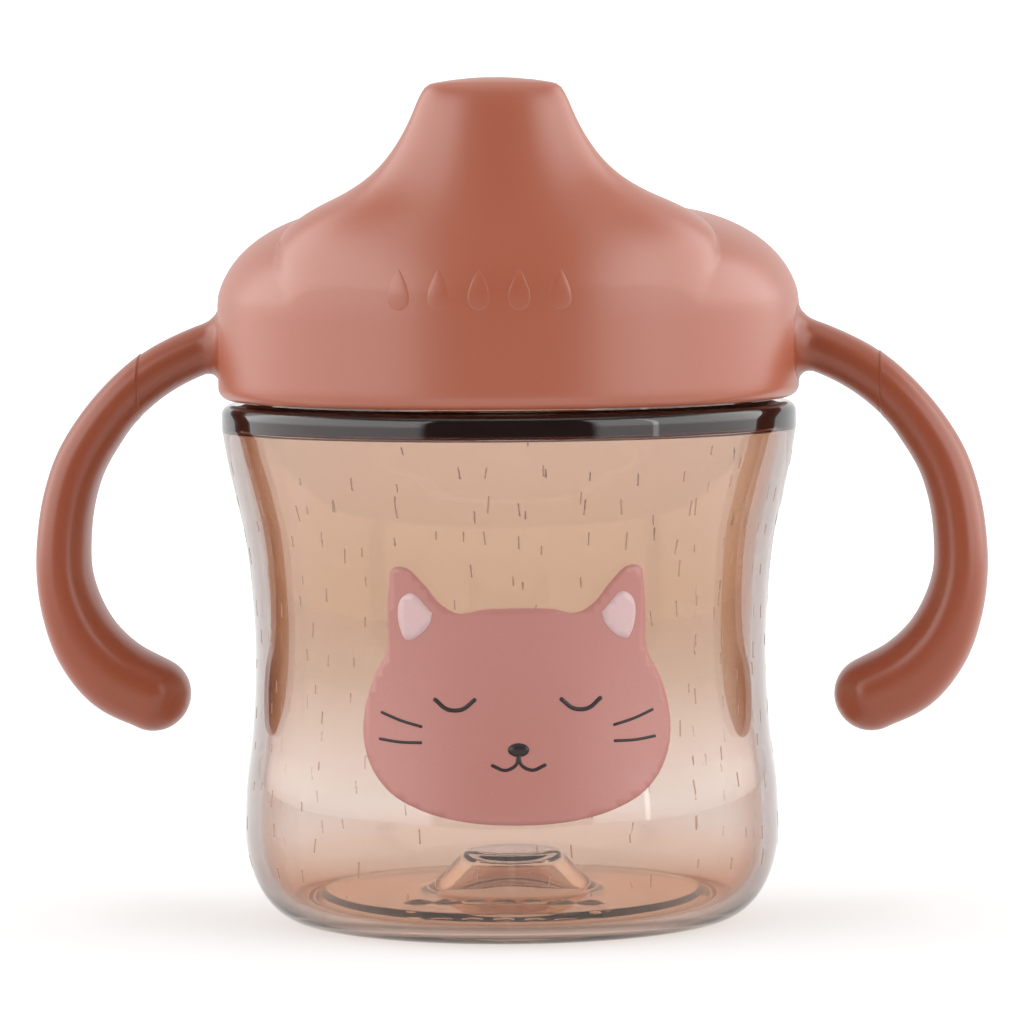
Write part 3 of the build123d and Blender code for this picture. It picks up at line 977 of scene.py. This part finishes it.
def tube(name, y, outer, bore, low, high):
    """Closed upright tube with rounded lips."""
    lip = 0.3 * mm
    loop = rounded([
        (bore, (low + high) / 2, 0), (bore, low, lip), (outer, low, lip), (outer, high, lip),
        (bore, high, lip), (bore, (low + high) / 2, 0),
    ], 3)[:-1]
    turn = np.linspace(0, 2 * math.pi, 72, endpoint=False)
    rings = np.stack([
        loop[:, :1] * np.cos(turn), y + loop[:, :1] * np.sin(turn),
        np.repeat(loop[:, 1:], 72, 1),
    ], -1)
    rings = np.concatenate([rings, rings[:1]])
    return rings.reshape(-1, 3), grid_faces(len(rings), 72)


for name, y, outer, bore in (
    ("valve_seat_spout", -(lid_radius - 18.5 * mm), 6 * mm, 4.4 * mm),
    ("valve_seat_vent", vent_y, 4.5 * mm, 2.5 * mm),
):
    points, faces = tube(name, y, outer, bore, stub_end, lid_top - lid_top_wall + 0.6 * mm)
    seat = new_piece(name, points, faces, lid_plastic)
    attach(seat, "lid")


# Arms and grips: the lid's short arms sweep down and out, and a glossy curved grip with a
# rounded end is seated on each at a fine witness ring.
grip_x = lid_radius + 10.2 * mm
arm_path = np.array([
    (36.0, 74.9, 6.6, 8.8), (40.6, 73.4, 6.25, 8.6), (45.9, 70.6, 6.2, 8.8),
    (50.35, 66.85, 6.2, 9.4), (53.6, 62.9, 6.3, 10.0), (55.9, 58.95, 6.4, 10.6),
    (57.3, 54.7, 6.5, 11.2), (58.1, 49.4, 6.7, 11.8), (58.1, 44.4, 7.0, 12.2),
    (57.0, 39.6, 7.8, 12.6), (54.9, 35.2, 8.8, 12.8), (51.4, 31.4, 9.6, 12.8),
    (46.6, 28.9, 9.4, 12.4),
]) * mm
path = flowing(arm_path, 150)
section_turns = np.linspace(0, 2 * math.pi, 64, endpoint=False)
squareness = 2.35
arm_cos = np.sign(np.cos(section_turns)) * abs(np.cos(section_turns)) ** (2 / squareness)
arm_sin = np.sign(np.sin(section_turns)) * abs(np.sin(section_turns)) ** (2 / squareness)


def arm_rings(rows, normals, grow):
    """Rings of the arm's section at path rows, cut square to the given normals."""
    along = np.gradient(path[:, :2], axis=0)
    along /= np.linalg.norm(along, axis=1)[:, None]
    rings = []
    for (x, z, thick, wide), normal, row in zip(path[rows], normals, rows):
        lean = abs(along[row] @ normal)
        up_x, up_z = -normal[1], normal[0]
        half = (thick / 2 + grow) / lean
        rings.append(np.stack([
            x + up_x * half * arm_cos,
            (wide / 2 + grow) * arm_sin,
            z + up_z * half * arm_cos,
        ], -1))
    return np.array(rings)


joint_row = int(np.argmin(abs(path[:, 0] - grip_x) + (path[:, 1] < 60 * mm)))
direction = np.gradient(path[:, :2], axis=0)
direction /= np.linalg.norm(direction, axis=1)[:, None]
settle = np.clip((np.arange(len(path)) - joint_row) / 26, 0, 1)
settle = settle * settle * (3 - 2 * settle)
normals = direction * settle[:, None] + np.array([1.0, 0.0]) * (1 - settle)[:, None]
normals /= np.linalg.norm(normals, axis=1)[:, None]
root_reach = 2.2 * mm
first_row = int(np.argmax(path[:, 0] > lid_radius + root_reach))
arm_rows = list(range(first_row, joint_row + 1))
arm = arm_rings(arm_rows, normals[arm_rows], 0)
fillet_steps = 8
root = []
for step in range(fillet_steps + 1):
    share = step / fillet_steps
    gap = root_reach * (1 - math.cos(math.pi / 2 * share))
    spread = root_reach * (1 - math.sin(math.pi / 2 * share))
    row = int(np.argmin(abs(path[:, 0] - (lid_radius + gap)) + (path[:, 1] < 60 * mm)))
    x, z, thick, wide = path[row]
    lean = abs(direction[row][0])
    y = (wide / 2 + spread) * arm_sin
    height = z + (thick / 2 / lean + spread * 0.8) * arm_cos
    curved = np.sqrt(np.clip((lid_radius + gap) ** 2 - y**2, 0, None))
    flat_share = share**2
    bent = curved * (1 - flat_share) + (lid_radius + gap) * flat_share
    root.append(np.stack([bent, y, height], -1))
root = np.array(root)
buried = root[:1].copy()
buried[..., 0] -= 0.9 * mm
arm = np.concatenate([buried, root[:-1], arm])
edge = 0.07 * mm
arm_end = arm[-1:].copy()
arm_end[..., 0] += 0.1 * mm
arm_close = arm_end.copy()
arm_close[..., 1] *= 0.5
arm_close[..., 2] = (arm_close[..., 2] - path[joint_row, 1]) * 0.5 + path[joint_row, 1]
arm = np.concatenate([arm, arm_end, arm_close])
grip_rows = list(range(joint_row, len(path)))
grip_step = 0.06 * mm
grip = arm_rings(grip_rows, normals[grip_rows], grip_step)
grip_start = np.concatenate([
    arm_rings([joint_row], normals[[joint_row]], -1.5 * mm),
    arm_rings([joint_row], normals[[joint_row]], grip_step - edge),
])
grip_start[..., 0] += 0.02 * mm
grip[0, :, 0] += 0.1 * mm
tip_rings = []
end_x, end_z, end_thick, end_wide = path[-1]
end_direction = direction[-1]
for step in range(1, 13):
    angle = math.radians(85 * step / 12)
    reach = (end_thick / 2 + grip_step) * math.sin(angle)
    shrink = math.cos(angle)
    half = (end_thick / 2 + grip_step) * shrink
    up_x, up_z = -end_direction[1], end_direction[0]
    tip_rings.append(np.stack([
        end_x + end_direction[0] * reach + up_x * half * arm_cos,
        (end_wide / 2 + grip_step) * shrink * arm_sin,
        end_z + end_direction[1] * reach + up_z * half * arm_cos,
    ], -1))
grip = np.concatenate([grip_start, grip, np.array(tip_rings)])
grip_light, grip_dark = (0.27, 0.062, 0.027), (0.255, 0.057, 0.024)
grip_plastic = polypropylene("grip_plastic", grip_light, grip_dark, (0.285, 0.33), 0.12, 0.5)
for sign, name in ((1, "right"), (-1, "left")):
    for part, rings in (("arm", arm), ("grip", grip)):
        sided = rings * np.array([sign, 1, 1])
        points, faces = capped_rings(sided if sign < 0 else sided[:, ::-1])
        piece = new_piece(f"{name}_{part}", points, faces, grip_plastic)
        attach(piece, "lid")
        if part == "grip":
            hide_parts(f"{name}_handle")


# Seal ring and valve: soft pale silicone. The ring is squeezed between the neck's top and
# the lid's shelf. The valve's two cups push over the stubs under the spout and the vent.


def silicone(name, light, dark, glow):
    """Soft matt silicone, a little translucent, with a faint mottle."""
    material = bpy.data.materials.new(name)
    shader, surface = start_material(material, 120, 2200, (0.45, 0.6), 0.3)
    two_shades(material, surface.outputs["Mottle"], dark, light)
    shader.inputs["Subsurface Weight"].default_value = glow
    shader.inputs["Subsurface Radius"].default_value = (1.0, 0.9, 0.8)
    shader.inputs["Subsurface Scale"].default_value = 2 * mm
    return material


soft_silicone = silicone("soft_silicone", (0.86, 0.84, 0.80), (0.78, 0.76, 0.72), 0.5)
for node in ("seal_ring", "valve"):
    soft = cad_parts[node]
    soft.data.materials.clear()
    soft.data.materials.append(soft_silicone)


# Floor, sky and lamps: a plain pale table under soft light, with a large soft box on each
# side, a broad one above and a darker front. The view behind, and what is seen through the
# clear plastic, is plain white instead of the boxes.
floor_half = 0.45
bpy.ops.mesh.primitive_plane_add(size=2 * floor_half, location=(0, 0, 0))
ground = bpy.context.object
ground.name = "floor"
floor_paint = bpy.data.materials.new("floor_paint")
floor_paint.use_nodes = True
floor_shader = floor_paint.node_tree.nodes["Principled BSDF"]
floor_shader.inputs["Base Color"].default_value = (0.84, 0.84, 0.84, 1)
floor_shader.inputs["Roughness"].default_value = 0.9
floor_shader.inputs["Specular IOR Level"].default_value = 0.0
ground.data.materials.append(floor_paint)
world = bpy.data.worlds.new("studio")
bpy.context.scene.world = world
world.use_nodes = True
studio = world.node_tree
sky = studio.nodes["Background"]
place = studio.nodes.new("ShaderNodeTexCoord")
split = wired(studio, "ShaderNodeSeparateXYZ", {0: place.outputs["Generated"]})


def sky_step(value, start, end, low=0.0, high=1.0):
    """Smooth change from low to high as value goes from start to end."""
    return wired(studio, "ShaderNodeMapRange", {
        "Value": value, "From Min": start, "From Max": end, "To Min": low, "To Max": high,
    }, interpolation_type="SMOOTHSTEP").outputs["Result"]


front_glow = 0.14
back_glow = 1.0
box_start, box_end = 0.60, 2.35
box_low, box_high = -0.15, 0.75
box_glow = 3.0
top_glow = 1.4
strip_side = 1.05
strip_glow = 4.0
box_soft = 0.12
forward = maths(studio, "MULTIPLY", split.outputs["Y"], -1)
round_turn = maths(studio, "ARCTAN2", split.outputs["X"], forward)
side_turn = maths(studio, "ABSOLUTE", maths(studio, "SUBTRACT", round_turn, camera_turn))
lift = maths(studio, "ARCSINE", split.outputs["Z"])
base_glow = sky_step(side_turn, 1.2, 2.4, front_glow, back_glow)
box_near = sky_step(side_turn, box_start - 0.05, box_start + 0.05)
box_far = sky_step(side_turn, box_end - box_soft, box_end + box_soft, 1, 0)
box_foot = sky_step(lift, box_low - 0.05, box_low + 0.23)
box_head = sky_step(lift, box_high - box_soft, box_high + box_soft, 1, 0)
box_wide = maths(studio, "MULTIPLY", box_near, box_far)
box_tall = maths(studio, "MULTIPLY", box_foot, box_head)
boxes = maths(studio, "MULTIPLY", maths(studio, "MULTIPLY", box_wide, box_tall), box_glow)
overhead = sky_step(lift, 0.8, 1.15, 0, top_glow)
past_strip = maths(studio, "SUBTRACT", round_turn, camera_turn + strip_side)
strip_turn = maths(studio, "ABSOLUTE", past_strip)
strip = maths(studio, "MULTIPLY", sky_step(strip_turn, 0.012, 0.03, strip_glow, 0), box_tall)
brightest = maths(studio, "MAXIMUM", base_glow, maths(studio, "MAXIMUM", boxes, overhead))
lit = maths(studio, "ADD", brightest, strip)
path_kind = studio.nodes.new("ShaderNodeLightPath").outputs
plain = maths(studio, "MAXIMUM", path_kind["Is Camera Ray"], path_kind["Is Transmission Ray"])
choose = wired(studio, "ShaderNodeMix", {"Factor": plain, "A": lit, "B": 1.3})
sky.inputs["Color"].default_value = (1, 1, 1, 1)
studio.links.new(choose.outputs["Result"], sky.inputs["Strength"])
bpy.context.scene.view_settings.view_transform = "Standard"
